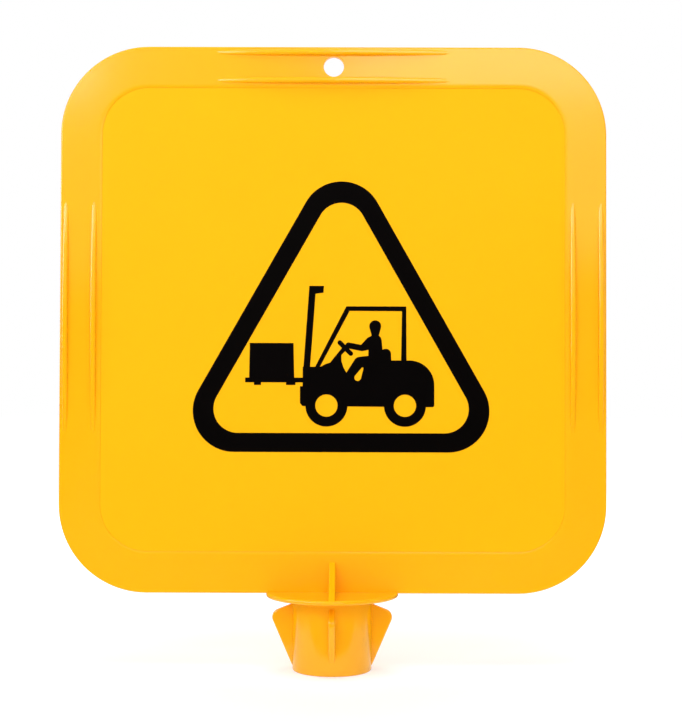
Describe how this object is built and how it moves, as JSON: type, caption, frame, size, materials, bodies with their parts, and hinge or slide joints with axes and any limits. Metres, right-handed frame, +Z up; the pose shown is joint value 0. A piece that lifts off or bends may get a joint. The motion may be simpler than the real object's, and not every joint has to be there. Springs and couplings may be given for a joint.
{
  "type": "cone sign",
  "caption": "Square warning sign with a raised border, face films and a finned hollow plug under a stop collar, which drops into the top of a traffic cone.",
  "frame": {"origin": "middle of the collar's underside, on the plug's axis, where the sign seats on the cone", "axes": "+Z up along the plug's axis, +X to the reader's right across the panel, and the front of the sign faces -Y"},
  "size_m": [0.27, 0.065, 0.3075],
  "materials": {
    "moulded_plastic": "moulded polypropylene, low gloss",
    "yellow_film": "satin vinyl film",
    "black_film": "satin vinyl film"
  },
  "bodies": {
    "root": {"sign_panel": "moulded_plastic", "cone_plug": "moulded_plastic", "front_face_film": "yellow_film", "rear_face_film": "yellow_film", "front_triangle": "black_film", "rear_triangle": "black_film", "front_truck_symbol": "black_film", "rear_truck_symbol": "black_film"}
  },
  "joints": []
}
